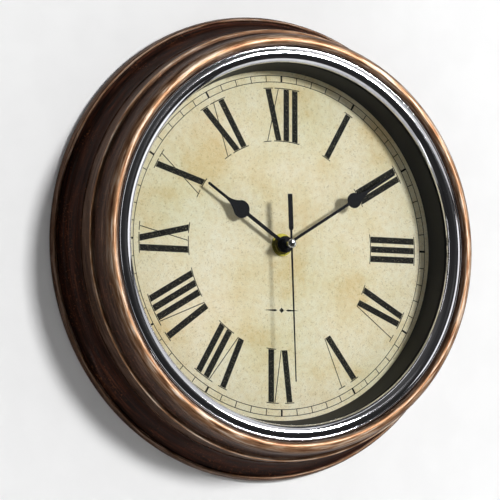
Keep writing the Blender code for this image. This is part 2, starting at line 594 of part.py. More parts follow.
def make_motion_work(plastic, brass, steel):
    """The hour wheel, cannon pinion, minute wheel, clutch spring and the knob that sets them."""
    minute_bore = circle(MINUTE_TUBE_R + FIT)
    arbor_bore = circle(PIVOT_R + FIT)
    pivot = circle(PIVOT_R)
    cannon_phase = 0.0
    minute_phase = meshed(*CANNON_TO_MINUTE[:2], cannon_phase, CENTRE, MINUTE_WORK)
    hour_phase = meshed(*MINUTE_TO_HOUR[:2], minute_phase, MINUTE_WORK, CENTRE)
    knob_phase = meshed(KNOB_TO_MINUTE[1], KNOB_TO_MINUTE[0], minute_phase, MINUTE_WORK, KNOB)

    front, back = behind_front(HOUR_WHEEL)
    tube = circle(HOUR_TUBE_R, sides=BUSH_SIDES)
    wheel = gear(MINUTE_TO_HOUR[1], MINUTE_TO_HOUR, hour_phase)
    layers = [(HOUR_HAND_H + HOUR_TUBE_PROUD, front, [tube, minute_bore]),
              (front, back, [wheel, minute_bore])]
    layered("hour_wheel", layers, plastic)

    front, back = behind_front(CANNON_PINION)
    tube = circle(MINUTE_TUBE_R)
    pinion = gear(CANNON_TO_MINUTE[0], CANNON_TO_MINUTE, cannon_phase)
    layers = [(MINUTE_HAND_H + MINUTE_TUBE_PROUD, front, [tube, arbor_bore]),
              (front, back, [pinion, arbor_bore]), (back, ROOM_FRONT_H - CANNON_END, [tube, arbor_bore])]
    layered("cannon_pinion", layers, brass)

    pinion_front, pinion_back = behind_front(MINUTE_PINION)
    front, back = behind_front(MINUTE_WHEEL)
    layers = [(PIVOT_FRONT_H, pinion_front, [pivot]),
              (pinion_front, pinion_back, [gear(MINUTE_TO_HOUR[0], MINUTE_TO_HOUR, minute_phase)]),
              (front, back, [gear(CANNON_TO_MINUTE[1], CANNON_TO_MINUTE, minute_phase)]),
              (back, MID_PIVOT_H, [circle(PIVOT_R)])]
    layered("minute_wheel", layers, plastic, MINUTE_WORK)

    star = [beyond(CENTRE, MINUTE_TUBE_R + (1.8 if i % 4 < 2 else 0.8), 30 * i) for i in range(12)]
    layered("clutch_spring", [(*behind_front(CLUTCH_SPRING), [star, minute_bore])], steel)

    shoulder = ROOM_FRONT_H - KNOB_SHOULDER
    layers = [(PIVOT_FRONT_H, shoulder, [pivot]), (shoulder, KNOB_FRONT_H, [circle(KNOB_SHAFT_R)]),
              (KNOB_FRONT_H, KNOB_BACK_H, [knurled(KNOB_R, 24)])]
    layered("setting_knob", layers, plastic, KNOB)
    pinion = gear(KNOB_TO_MINUTE[0], KNOB_TO_MINUTE, knob_phase)
    layers = [(*behind_front(SETTING_PINION), [pinion, circle(KNOB_SHAFT_R + FIT)])]
    layered("setting_pinion", layers, plastic, KNOB)


def knurled(radius, ribs):
    return [beyond(CENTRE, radius - (KNOB_RIB if i % 2 else 0), 180 * i / ribs) for i in range(2 * ribs)]


def make_arbor(name, spot, levels, material):
    """A wheel and pinion moulded on one arbor: levels of (front, back, outline), front to back."""
    layered(name, [(front, back, [outline]) for front, back, outline in levels], material, spot)


def make_going_train(plastic, brass, magnet):
    """From the rotor to the centre wheel, which turns once an hour."""
    rotor_phase = 0.0
    mid_phase = meshed(*ROTOR_TO_INTERMEDIATE[:2], rotor_phase, ROTOR, INTERMEDIATE)
    seconds_phase = meshed(*INTERMEDIATE_TO_SECONDS[:2], mid_phase, INTERMEDIATE, CENTRE)
    third_phase = meshed(*SECONDS_TO_THIRD[:2], seconds_phase, CENTRE, THIRD)
    centre_phase = meshed(*THIRD_TO_CENTRE[:2], third_phase, THIRD, CENTRE)

    wheel = gear(THIRD_TO_CENTRE[1], THIRD_TO_CENTRE, centre_phase)
    layered("centre_wheel", [(*behind_front(CENTRE_WHEEL), [wheel, circle(MINUTE_TUBE_R + FIT)])], brass)

    pinion_front, pinion_back = behind_front(THIRD_PINION)
    front, back = behind_front(THIRD_WHEEL)
    levels = [(PIVOT_FRONT_H, pinion_front, circle(PIVOT_R)),
              (pinion_front, pinion_back, gear(THIRD_TO_CENTRE[0], THIRD_TO_CENTRE, third_phase)),
              (pinion_back, front, circle(THIRD_ARBOR_R)),
              (front, back, gear(SECONDS_TO_THIRD[1], SECONDS_TO_THIRD, third_phase)),
              (back, PIVOT_BACK_H, circle(PIVOT_R))]
    make_arbor("third_wheel", THIRD, levels, plastic)

    pinion_front, pinion_back = behind_front(SECONDS_PINION)
    front, back = behind_front(SECONDS_WHEEL)
    levels = [(SECOND_HAND_H + SECOND_ARBOR_PROUD, pinion_front, circle(PIVOT_R)),
              (pinion_front, pinion_back, gear(SECONDS_TO_THIRD[0], SECONDS_TO_THIRD, seconds_phase)),
              (front, back, gear(INTERMEDIATE_TO_SECONDS[1], INTERMEDIATE_TO_SECONDS, seconds_phase)),
              (back, PIVOT_BACK_H, circle(PIVOT_R))]
    make_arbor("seconds_wheel", CENTRE, levels, plastic)

    pinion_front, pinion_back = behind_front(INTERMEDIATE_PINION)
    front, back = behind_front(INTERMEDIATE_WHEEL)
    levels = [(MID_PIVOT_H, pinion_front, circle(PIVOT_R)),
              (pinion_front, pinion_back,
               gear(INTERMEDIATE_TO_SECONDS[0], INTERMEDIATE_TO_SECONDS, mid_phase)),
              (front, back, gear(ROTOR_TO_INTERMEDIATE[1], ROTOR_TO_INTERMEDIATE, mid_phase)),
              (back, PIVOT_BACK_H, circle(PIVOT_R))]
    make_arbor("intermediate_wheel", INTERMEDIATE, levels, plastic)

    front, back = behind_front(ROTOR_PINION)
    levels = [(MID_PIVOT_H, front, circle(ROTOR_PIVOT_R)),
              (front, back, gear(ROTOR_TO_INTERMEDIATE[0], ROTOR_TO_INTERMEDIATE, rotor_phase)),
              (back, PIVOT_BACK_H, circle(ROTOR_PIVOT_R))]
    make_arbor("rotor_pinion", ROTOR, levels, plastic)
    ring = [circle(ROTOR_R), circle(ROTOR_PIVOT_R + FIT)]
    layered("rotor_magnet", [(*behind_front(ROTOR_MAGNET), ring)], magnet, ROTOR)


def make_motor(iron, copper, board, steel, black):
    """Stator, coil and the circuit that pulses it."""
    arm, low, shoulder, top = 3.5, 7.0, 15.5, COIL_Z + 2.5
    left, right = -6.0, 17.0
    outline = [(left, low), (right, low), (right, top), (right - arm, top), (right - arm, shoulder),
               (left + arm, shoulder), (left + arm, top), (left, top)]
    layered("stator", [(*behind_front(STATOR), [outline, circle(STATOR_HOLE_R, ROTOR)])], iron)
    middle = ((left + right) / 2, COIL_Z)
    core_half = COIL_CORE_THICK / 2
    layered("coil_core", [(COIL_H + core_half, COIL_H - core_half, [box(right - left, 2.0, middle)])], iron)
    winding_r, bore_r, half = 3.0, 1.3, 6.2
    winding = [(winding_r, -half), (winding_r, half), (bore_r, half), (bore_r, -half)]
    turned("coil_winding", winding, copper, middle, SMALL_SIDES, COIL_H, -math.pi / 2)

    card_thick, part_rise, can_r, can_half = 0.8, 0.8, 1.0, 3.0
    card_h = GEAR_PLATE_BACK_H - GAP
    seat = card_h - card_thick - GAP
    middle = (BOARD_SIZE[0] / 2 + BOARD_CLEAR - INNER_HALF_X, ROOM_TOP_Z - BOARD_CLEAR - BOARD_SIZE[1] / 2)
    layered("circuit_board", [(card_h, card_h - card_thick, [box(*BOARD_SIZE, middle)])], board)
    can = [(0, can_half), (can_r, can_half), (can_r, -can_half), (0, -can_half)]
    spot = (middle[0] - 3.0, middle[1] + 4.0)
    turned("crystal_can", can, steel, spot, SMALL_SIDES, seat - can_r, -math.pi / 2)
    spot = (middle[0], middle[1] - 2.0)
    layered("timing_chip", [(seat, seat - part_rise, [box(4.0, 4.0, spot)])], black)


def make_battery(jacket, steel):
    """An AA cell across the bay, with its contacts at the ends."""
    half = BATTERY_LENGTH / 2
    nub_r, nub_rise = BATTERY_NUB
    outline = [(0, half), (nub_r, half), (nub_r, half - nub_rise), (BATTERY_R, half - nub_rise),
               (BATTERY_R, -half), (0, -half)]
    turned("battery_cell", outline, jacket, (0, BATTERY_Z), WASHER_SIDES, BATTERY_H, -math.pi / 2)
    front, back = BATTERY_H + CONTACT_WIDTH / 2, BATTERY_H - CONTACT_WIDTH / 2
    for name, side in (("contact_positive", -1), ("contact_negative", 1)):
        spot = (side * (half + GAP + CONTACT_THICK / 2), BATTERY_Z)
        layers = [(front, back, [box(CONTACT_THICK, CONTACT_HEIGHT)])]
        layered(name, layers, steel, spot)


# ---- hands -------------------------------------------------------------------------------------


def make_hands(black, chrome):
    hour = clock_turn(spade_hand(6.0, 1.3, 41.8, 6.25, 56.0, 1.0, 73.0), HOUR_ANGLE)
    bore = circle(HOUR_TUBE_R + FIT, sides=BUSH_SIDES)
    layered("hour_hand", [(HOUR_HAND_H + HAND_THICK, HOUR_HAND_H, [hour, bore])], black)
    minute = clock_turn(spade_hand(4.8, 1.0, 64.0, 5.5, 80.0, 0.9, 104.0), MINUTE_ANGLE)
    bore = circle(MINUTE_TUBE_R + FIT)
    layered("minute_hand", [(MINUTE_HAND_H + HAND_THICK, MINUTE_HAND_H, [minute, bore])], black)
    half = [(1.8, -34.7), (1.8, -10.5), (0.8, -9.0)]
    half += arc_round(0, 2.6, 160, 16, 6) + [(0.35, 95.8), (0, 96.4)]
    second = clock_turn(both_sides(half), SECOND_ANGLE)
    bore = circle(PIVOT_R + FIT)
    layers = [(SECOND_HAND_H + SECOND_HAND_THICK, SECOND_HAND_H, [second, bore]),
              (SECOND_HAND_H, SECOND_HAND_H - SECOND_COLLAR_LENGTH, [circle(SECOND_COLLAR_R), bore])]
    layered("second_hand", layers, black)
    edge = 0.3
    dome = [(0, CAP_BACK_H + CAP_RISE)] + quarter((0, CAP_BACK_H + edge), CAP_R, CAP_RISE - edge, 65, 0, 3)
    dome += [(CAP_R, CAP_BACK_H), (0, CAP_BACK_H)]
    turned("second_hand_cap", dome, chrome, sides=WASHER_SIDES)


# ---- the whole clock ---------------------------------------------------------------------------


def main():
    for thing in list(bpy.data.objects):
        bpy.data.objects.remove(thing, do_unlink=True)

    bronze = paint("antique_bronze_lacquer", "#5a3a26", 0.35, 0.7)
    chrome = paint("polished_chrome", "#d8dadd", 0.08, 1.0)
    clear = paint("mineral_glass", "#eef4f2", 0.03)
    black = paint("matt_black_plastic", "#161616", 0.6)
    paper = paint("parchment_paper", "#e2d7ae", 0.8)
    board = paint("hardboard", "#8a6a48", 0.8)
    hand_black = paint("black_lacquered_steel", "#15141c", 0.4, 0.3)
    steel = paint("zinc_plated_steel", "#b9bcc0", 0.35, 1.0)
    movement = paint("black_abs_plastic", "#202022", 0.5)
    rubber = paint("black_rubber", "#121212", 0.9)
    brass = paint("brass", "#a98f45", 0.3, 1.0)
    nylon = paint("white_acetal", "#e9e6dc", 0.45)
    magnet = paint("ferrite", "#3a3a3c", 0.5)
    iron = paint("silicon_iron", "#8d8f92", 0.4, 1.0)
    copper = paint("enamelled_copper_wire", "#b5622d", 0.35, 0.8)
    card = paint("green_circuit_card", "#1f5a34", 0.5)
    jacket = paint("battery_jacket", "#2d3f66", 0.35)

    make_case(bronze)
    make_bezel_ring(chrome)
    make_glass(clear)
    make_dial_surround(black)
    make_dial(paper, board)
    for number in range(PLATE_SCREWS):
        seat_h = PLATE_BACK_H - GAP
        make_screw(f"plate_screw_{number + 1}", screw_spot(number), seat_h, SCREW_HEAD_THICK, steel)
    make_hanger(steel)
    make_movement_shell(movement, rubber, brass)
    make_motion_work(nylon, brass, steel)
    make_going_train(nylon, brass, magnet)
    make_motor(iron, copper, card, steel, black)
    make_battery(jacket, steel)
    make_hands(hand_black, chrome)


main()
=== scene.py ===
# %% [markdown]
# # A wall clock in a moulded bronze case
#
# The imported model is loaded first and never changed. New pieces are finer versions of some of
# its parts, made in the same places, and each one rides on the body that it belongs to.

# %% Load the frame
import json
import math

import bmesh
import bpy
from mathutils import Matrix, Vector


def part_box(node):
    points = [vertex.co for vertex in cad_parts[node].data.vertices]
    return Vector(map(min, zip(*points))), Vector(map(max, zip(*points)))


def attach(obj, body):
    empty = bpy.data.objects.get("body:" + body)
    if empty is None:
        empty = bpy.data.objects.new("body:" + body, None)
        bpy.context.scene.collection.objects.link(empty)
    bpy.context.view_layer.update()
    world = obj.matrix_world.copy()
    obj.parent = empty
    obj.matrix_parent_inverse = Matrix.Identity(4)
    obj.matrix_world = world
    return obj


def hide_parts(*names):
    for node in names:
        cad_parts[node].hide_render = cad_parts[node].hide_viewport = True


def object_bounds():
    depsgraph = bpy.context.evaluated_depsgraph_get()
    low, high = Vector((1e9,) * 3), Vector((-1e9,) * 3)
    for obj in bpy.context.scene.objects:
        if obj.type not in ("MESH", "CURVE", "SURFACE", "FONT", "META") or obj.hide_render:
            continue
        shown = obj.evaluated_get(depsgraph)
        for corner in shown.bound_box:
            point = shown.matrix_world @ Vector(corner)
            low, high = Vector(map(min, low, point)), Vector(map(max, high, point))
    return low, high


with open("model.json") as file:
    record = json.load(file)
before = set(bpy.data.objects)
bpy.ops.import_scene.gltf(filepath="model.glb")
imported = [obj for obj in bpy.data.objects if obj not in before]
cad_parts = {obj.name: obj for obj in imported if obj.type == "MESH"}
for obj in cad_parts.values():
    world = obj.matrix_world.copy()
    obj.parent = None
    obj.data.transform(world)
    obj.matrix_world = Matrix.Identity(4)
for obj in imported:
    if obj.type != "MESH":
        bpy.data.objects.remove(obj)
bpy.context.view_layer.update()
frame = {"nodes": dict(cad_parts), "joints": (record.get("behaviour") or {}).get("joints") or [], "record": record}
MM = 0.001
joints = {joint["name"]: joint for joint in frame["joints"]}
HANDS_AXIS = Vector(joints["minutes_turn"]["pos_m"])
DIAL_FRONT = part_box("dial_face")[0].y
print("dial front at y", round(DIAL_FRONT, 4), "hands' axis", tuple(HANDS_AXIS))

# %% [markdown]
# ## Camera
#
# A clock on a wall is drawn most calmly with a long lens. This camera stands to the left of the
# clock and a little below it, about a metre and a half away.

# %% Camera
LOOK_AT = Vector((-0.02585, -0.0281, -0.1525))
CAMERA_AZIMUTH = math.radians(-28.665)
CAMERA_ELEVATION = math.radians(-4.909)
CAMERA_DISTANCE = 1.469
CAMERA_LENS = 151.96            # millimetres, with a sensor as wide as small film
SENSOR_WIDTH = 36


def away(azimuth, elevation, distance):
    """The step from a point to one that sees it from this azimuth; azimuth 0 looks along +Y."""
    flat = distance * math.cos(elevation)
    return Vector((flat * math.sin(azimuth), -flat * math.cos(azimuth),
                   distance * math.sin(elevation)))


def aimed(name, data, place, target):
    """A camera or lamp at a place, turned towards its target."""
    thing = bpy.data.objects.new(name, data)
    bpy.context.scene.collection.objects.link(thing)
    thing.location = place
    thing.rotation_euler = (Vector(target) - Vector(place)).to_track_quat("-Z", "Y").to_euler()
    return thing


camera_data = bpy.data.cameras.new("camera")
camera_data.lens = CAMERA_LENS
camera_data.sensor_width = SENSOR_WIDTH
camera_place = LOOK_AT + away(CAMERA_AZIMUTH, CAMERA_ELEVATION, CAMERA_DISTANCE)
bpy.context.scene.camera = aimed("camera", camera_data, camera_place, LOOK_AT)
print("camera at", [round(c, 3) for c in camera_place])

# %% [markdown]
# ## One way to add a node
#
# Every finish here is a small tree of nodes. One function adds a node, sets it up and links it, and
# another turns the given hex colours into the linear numbers that light needs.


# %% Node and colour helpers
def linear(hex_colour):
    """An sRGB hex colour as linear RGBA."""
    parts = [int(hex_colour[i:i + 2], 16) / 255 for i in (1, 3, 5)]
    return tuple(c / 12.92 if c <= 0.04045 else ((c + 0.055) / 1.055) ** 2.4
                 for c in parts) + (1.0,)


def add(tree, kind, inputs=None, stops=None, **settings):
    """Adds a node. inputs maps a socket to a value, a hex colour or another node's socket."""
    node = tree.nodes.new("ShaderNode" + kind)
    for name, value in settings.items():
        setattr(node, name, value)
    for socket, value in (inputs or {}).items():
        if isinstance(value, bpy.types.NodeSocket):
            tree.links.new(value, node.inputs[socket])
        else:
            node.inputs[socket].default_value = linear(value) if isinstance(value, str) else value
    for i, (place, colour) in enumerate(stops or []):
        slots = node.color_ramp.elements
        slot = slots[i] if i < len(slots) else slots.new(place)
        slot.position = place
        slot.color = linear(colour) if isinstance(colour, str) else (colour,) * 3 + (1,)
    return node


def new_finish(name):
    """An empty material with its output node."""
    material = bpy.data.materials.new(name)
    material.use_nodes = True
    material.node_tree.nodes.clear()
    return material, material.node_tree


def close(tree, shader):
    """Sends a shader to the material's output."""
    add(tree, "OutputMaterial", {"Surface": shader})


A, B, RESULT = 6, 7, 2          # sockets of a Mix node that mixes colours
print("node helpers ready")

# %% [markdown]
# ## Aged bronze paint
#
# The case is moulded plastic under a dark brown lacquer. A copper paint is brushed round the
# mouldings and wiped back, so it stays in long streaks round the clock, shows on the raised beads
# and leaves the cove nearly black. Painted light is laid into the same colour, ring by ring:
# painted highlights on the crown of the bead, the corner of the shoulder and the start of the rim,
# a pale cream in the copper for the colour of those highlights, and painted shade in the neck under
# the bead. The streaks are noise that is stretched round the axis: its coordinates are the
# direction from the axis, which changes slowly, and the distance from the axis and from the wall,
# which change fast. Nothing needs a seam this way.


# %% Coordinates that turn with the clock
def round_axis(tree, stretch, across):
    """Place and radius sockets, with a vector and a W for noise drawn out round the axis."""
    place = add(tree, "TexCoord").outputs["Object"]
    from_axis = add(tree, "VectorMath", {0: place, 1: HANDS_AXIS}, operation="SUBTRACT")
    flat = add(tree, "VectorMath", {0: from_axis.outputs[0], 1: (1, 0, 1)}, operation="MULTIPLY")
    radius = add(tree, "VectorMath", {0: flat.outputs[0]}, operation="LENGTH").outputs["Value"]
    heading = add(tree, "VectorMath", {0: flat.outputs[0]}, operation="NORMALIZE")
    slow = add(tree, "VectorMath", {0: heading.outputs[0], "Scale": stretch}, operation="SCALE")
    fast = add(tree, "Math", {0: radius, 1: across}, operation="MULTIPLY")
    lift = add(tree, "CombineXYZ", {"Y": fast.outputs[0]})
    vector = add(tree, "VectorMath", {0: slow.outputs[0], 1: lift.outputs[0]}, operation="ADD")
    depth = add(tree, "SeparateXYZ", {0: place}).outputs["Y"]
    deep = add(tree, "Math", {0: depth, 1: across}, operation="MULTIPLY")
    return place, radius, vector.outputs[0], deep.outputs[0]


# %% Aged bronze paint
STREAK_LENGTH = 22 * MM
STREAK_WIDTH = 1.3 * MM         # brush marks are finer, but these still show from a metre away
CASE_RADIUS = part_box("case_frame")[1].x
FLECK = 1.6 * MM                # worn spots
CLOUD = 28 * MM                 # the patches where they gather
RINGS_FROM, RINGS_TO = 136 * MM, 166 * MM
STREAK_DEPTH = 0.25 * MM

bronze, tree = new_finish("aged_bronze_paint")
place, radius, streak_at, streak_w = round_axis(
    tree, CASE_RADIUS / STREAK_LENGTH, 1 / STREAK_WIDTH)
streaks = add(tree, "TexNoise", {"Vector": streak_at, "W": streak_w, "Scale": 1, "Detail": 3,
                                 "Roughness": 0.6}, noise_dimensions="4D").outputs["Fac"]
clouds = add(tree, "TexNoise", {"Vector": place, "Scale": 1 / CLOUD, "Detail": 3}).outputs["Fac"]
flecks = add(tree, "TexNoise", {"Vector": place, "Scale": 1 / FLECK, "Detail": 4,
                                "Roughness": 0.7}).outputs["Fac"]
base = add(tree, "ValToRGB", {"Fac": streaks},
           stops=[(0.34, "#150a06"), (0.50, "#29130b"), (0.62, "#422113"), (0.78, "#6c412a")])
warm = add(tree, "ValToRGB", {"Fac": clouds}, stops=[(0.40, 0.0), (0.62, 1.0)])
fleck_mask = add(tree, "ValToRGB", {"Fac": flecks}, stops=[(0.56, 0.0), (0.68, 1.0)])
worn = add(tree, "Math", {0: warm.outputs[0], 1: fleck_mask.outputs[0]}, operation="MULTIPLY")
rubbed = add(tree, "Mix", {0: worn.outputs[0], A: base.outputs[0], B: "#7d4c2e"},
             data_type="RGBA")
# how much copper and painted light each ring gets, from the chrome outwards: most on the bead,
# rubbed copper with a painted highlight on its crown; little in the neck, as painted shade under
# the bead; a thin painted highlight on the shoulder's corner; none in the cove; and a painted
# highlight line again where the rim begins
ring = add(tree, "MapRange", {"Value": radius, "From Min": RINGS_FROM, "From Max": RINGS_TO})
copper_and_painted_light_at = add(tree, "ValToRGB", {"Fac": ring.outputs[0]},
                stops=[(0.0, 0.15), (0.06, 0.10), (0.11, 0.6), (0.24, 0.85), (0.31, 0.25),
                       (0.36, 0.03), (0.40, 0.03), (0.44, 0.15), (0.475, 0.25), (0.49, 0.95),
                       (0.508, 0.95), (0.516, 0.12), (0.53, 0.08), (0.56, 0.0), (0.87, 0.0),
                       (0.895, 0.6), (0.915, 0.2), (1.0, 0.1)])
# the palest cream at the top of the copper's tones is partly copper and partly painted highlight
copper = add(tree, "ValToRGB", {"Fac": streaks},
             stops=[(0.32, "#663a22"), (0.50, "#b58a66"), (0.66, "#f3e2cd")])
# the lacquer and copper, with the painted highlights and the painted shade under the bead laid in
colour_with_painted_light = add(tree, "Mix", {0: copper_and_painted_light_at.outputs[0], A: rubbed.outputs[RESULT],
                         B: copper.outputs[0]}, data_type="RGBA")
scuffed = add(tree, "MapRange", {"Value": streaks, "From Min": 0.3, "From Max": 0.7,
                                 "To Min": 0.40, "To Max": 0.60})
gloss = add(tree, "Math", {0: copper_and_painted_light_at.outputs[0], 1: -0.03, 2: scuffed.outputs[0]},
            operation="MULTIPLY_ADD")
bumps = add(tree, "Bump", {"Height": streaks, "Strength": 0.25, "Distance": STREAK_DEPTH})
close(tree, add(tree, "BsdfPrincipled", {
    "Base Color": colour_with_painted_light.outputs[RESULT], "Metallic": 0.88, "Roughness": gloss.outputs[0],
    "Coat Weight": 0.06, "Coat Roughness": 0.12, "Normal": bumps.outputs[0]}).outputs[0])
print("bronze streaks", STREAK_LENGTH, "m long,", STREAK_WIDTH, "m wide")

# %% [markdown]
# ## Chrome plate
#
# The bezel ring is brass or plastic under polished chrome. Chrome has hardly any colour of its own:
# it shows the lamps as hard white lines and the room as black ones. Very faint turning marks keep
# it from being a perfect mirror.

# %% Chrome plate
MARK_TURNS, MARK_WIDTH = 3, 0.9 * MM

chrome, tree = new_finish("chrome_plate")
mark_at, mark_w = round_axis(tree, MARK_TURNS, 1 / MARK_WIDTH)[2:]
marks = add(tree, "TexNoise", {"Vector": mark_at, "W": mark_w, "Scale": 1, "Detail": 2},
            noise_dimensions="4D").outputs["Fac"]
shine = add(tree, "MapRange", {"Value": marks, "To Min": 0.03, "To Max": 0.11})
tint = add(tree, "ValToRGB", {"Fac": marks}, stops=[(0.35, "#c9c9cf"), (0.65, "#e4e4e8")])
close(tree, add(tree, "BsdfPrincipled", {
    "Base Color": tint.outputs[0], "Metallic": 1.0, "Roughness": shine.outputs[0]}).outputs[0])
print("turning marks", MARK_WIDTH, "m wide in the chrome")

# %% [markdown]
# ## Clear glass
#
# Flat float glass, two millimetres thick, is clear apart from a faint green in its body. So thin a
# pane bends nothing that can be seen, so it is mostly transparent, with a mirror that grows from
# four percent face on to full strength at a grazing angle. The lamps then reach the dial undimmed.

# %% Clear glass
FILM = 60 * MM                  # the size of the clouds in its faint tint
FACE_ON = 0.04                  # mirror strength of one face of glass, seen straight on
SCHLICK_POWER = 5               # how steeply the mirror grows towards a grazing angle

glass, tree = new_finish("clear_glass")
place = add(tree, "TexCoord").outputs["Object"]
film = add(tree, "TexNoise", {"Vector": place, "Scale": 1 / FILM, "Detail": 2})
tint = add(tree, "ValToRGB", {"Fac": film.outputs["Fac"]},
           stops=[(0.3, "#fbfdfc"), (0.7, "#ffffff")])
grazing = add(tree, "LayerWeight", {"Blend": 0.5}).outputs["Facing"]
steep = add(tree, "Math", {0: grazing, 1: SCHLICK_POWER}, operation="POWER")
mirror = add(tree, "Math", {0: steep.outputs[0], 1: 1 - FACE_ON, 2: FACE_ON},
             operation="MULTIPLY_ADD")
clear = add(tree, "BsdfTransparent", {"Color": tint.outputs[0]})
gleam = add(tree, "BsdfGlossy", {"Color": "#ffffff", "Roughness": 0.01})
close(tree, add(tree, "MixShader", {0: mirror.outputs[0], 1: clear.outputs[0],
                                    2: gleam.outputs[0]}).outputs[0])
print("glass mirrors", FACE_ON, "of the light that meets it face on")

# %% [markdown]
# ## Matt black plastic
#
# The sloping wall round the dial, the movement's shell and its cover are moulded in black plastic.
# A fine spark-eroded grain in the mould breaks up their shine. Rubber, acetal and ferrite are
# moulded too, so the same function serves them with other tones, grains and shines.


# %% Moulded plastics
GRAIN_DEPTH = 0.05 * MM


def moulded(name, dark, light, grain, low, high):
    """Moulded plastic: two close tones, a grain of this size and a range of roughness."""
    material, tree = new_finish(name)
    place = add(tree, "TexCoord").outputs["Object"]
    noise = add(tree, "TexNoise", {"Vector": place, "Scale": 1 / grain, "Detail": 3})
    tone = add(tree, "ValToRGB", {"Fac": noise.outputs["Fac"]}, stops=[(0.3, dark), (0.7, light)])
    rough = add(tree, "MapRange", {"Value": noise.outputs["Fac"], "To Min": low, "To Max": high})
    bump = add(tree, "Bump", {"Height": noise.outputs["Fac"], "Strength": 0.2,
                              "Distance": GRAIN_DEPTH})
    close(tree, add(tree, "BsdfPrincipled", {
        "Base Color": tone.outputs[0], "Roughness": rough.outputs[0],
        "Normal": bump.outputs[0]}).outputs[0])
    print(name, "grain", grain, "m")
    return material


black_wall = moulded("matt_black_plastic", "#080808", "#0d0d0c", 0.5 * MM, 0.6, 0.8)
black_shell = moulded("moulded_black_abs", "#19191b", "#222225", 0.4 * MM, 0.45, 0.65)
rubber = moulded("black_rubber", "#101010", "#1b1b1b", 1.2 * MM, 0.75, 0.9)
white_acetal = moulded("white_acetal", "#dedcd2", "#efede4", 2 * MM, 0.35, 0.5)
dark_ferrite = moulded("dark_ferrite", "#333338", "#43434a", 0.6 * MM, 0.5, 0.7)

# %% [markdown]
# ## Parchment paper and its ink
#
# The dial is a printed sheet. The print copies old parchment: cream with broad tan stains and
# small brown specks. The black of the numerals is printed as if worn, with fine cream flecks.

# %% Parchment
STAIN = 45 * MM                 # broad tan stains
FIBRE = 3.5 * MM                # cloudiness of the paper
SPECK = 1.1 * MM                # brown specks
PAPER_TOOTH = 0.05 * MM

parchment, tree = new_finish("printed_parchment_paper")
place = add(tree, "TexCoord").outputs["Object"]
stain = add(tree, "TexNoise", {"Vector": place, "Scale": 1 / STAIN, "Detail": 5,
                               "Roughness": 0.6}).outputs["Fac"]
fibre = add(tree, "TexNoise", {"Vector": place, "Scale": 1 / FIBRE, "Detail": 4}).outputs["Fac"]
speck = add(tree, "TexNoise", {"Vector": place, "Scale": 1 / SPECK, "Detail": 2}).outputs["Fac"]
cream = add(tree, "ValToRGB", {"Fac": stain},
            stops=[(0.34, "#ead6a8"), (0.45, "#f1e5c2"), (0.55, "#f5ebce"), (0.75, "#f8f1da")])
mottle = add(tree, "ValToRGB", {"Fac": fibre}, stops=[(0.35, "#f3e9d4"), (0.60, "#ffffff")])
paper = add(tree, "Mix", {0: 0.45, A: cream.outputs[0], B: mottle.outputs[0]},
            data_type="RGBA", blend_type="MULTIPLY")
dots = add(tree, "ValToRGB", {"Fac": speck}, stops=[(0.60, 0.0), (0.72, 0.5)])
aged = add(tree, "Mix", {0: dots.outputs[0], A: paper.outputs[RESULT], B: "#9c834b"},
           data_type="RGBA")
bump = add(tree, "Bump", {"Height": fibre, "Strength": 0.1, "Distance": PAPER_TOOTH})
close(tree, add(tree, "BsdfPrincipled", {
    "Base Color": aged.outputs[RESULT], "Roughness": 0.75, "Specular IOR Level": 0.25,
    "Normal": bump.outputs[0]}).outputs[0])
print("stains", STAIN, "m, specks", SPECK, "m")

# %% Printing inks
INK_FLAKE, INK_SHADE = 0.8 * MM, 2 * MM

ink, tree = new_finish("worn_black_ink")
place = add(tree, "TexCoord").outputs["Object"]
wear = add(tree, "TexNoise", {"Vector": place, "Scale": 1 / INK_FLAKE, "Detail": 3,
                              "Roughness": 0.65}).outputs["Fac"]
flaked = add(tree, "ValToRGB", {"Fac": wear},
             stops=[(0.50, "#060503"), (0.60, "#201e16"), (0.70, "#979074")])
close(tree, add(tree, "BsdfPrincipled", {
    "Base Color": flaked.outputs[0], "Roughness": 0.7, "Specular IOR Level": 0.2}).outputs[0])

fine_ink, tree = new_finish("thin_black_ink")
place = add(tree, "TexCoord").outputs["Object"]
wear = add(tree, "TexNoise", {"Vector": place, "Scale": 1 / INK_SHADE, "Detail": 2})
tone = add(tree, "ValToRGB", {"Fac": wear.outputs["Fac"]},
           stops=[(0.4, "#0b0a07"), (0.7, "#2a261b")])
close(tree, add(tree, "BsdfPrincipled", {
    "Base Color": tone.outputs[0], "Roughness": 0.7, "Specular IOR Level": 0.2}).outputs[0])
print("flakes in the ink", INK_FLAKE, "m")

# %% [markdown]
# ## Black lacquered hands
#
# The hands are stamped from thin aluminium and dipped in black lacquer, which leaves a dull sheen
# with a faint orange peel.

# %% Black lacquer
PEEL, PEEL_DEPTH = 1.5 * MM, 0.05 * MM

lacquer, tree = new_finish("black_lacquer")
place = add(tree, "TexCoord").outputs["Object"]
peel = add(tree, "TexNoise", {"Vector": place, "Scale": 1 / PEEL, "Detail": 2})
tone = add(tree, "ValToRGB", {"Fac": peel.outputs["Fac"]},
           stops=[(0.35, "#050508"), (0.65, "#0b0b16")])
bump = add(tree, "Bump", {"Height": peel.outputs["Fac"], "Strength": 0.15,
                          "Distance": PEEL_DEPTH})
close(tree, add(tree, "BsdfPrincipled", {
    "Base Color": tone.outputs[0], "Roughness": 0.5, "Specular IOR Level": 0.07,
    "Normal": bump.outputs[0]}).outputs[0])
print("orange peel", PEEL, "m")

# %% [markdown]
# ## Metals and boards at the back
#
# Zinc plate is pale with a faint bluish spangle, turned brass and copper wire have fine marks, and
# the dial sits on raw hardboard, whose pressed fibres show as brown mottling.


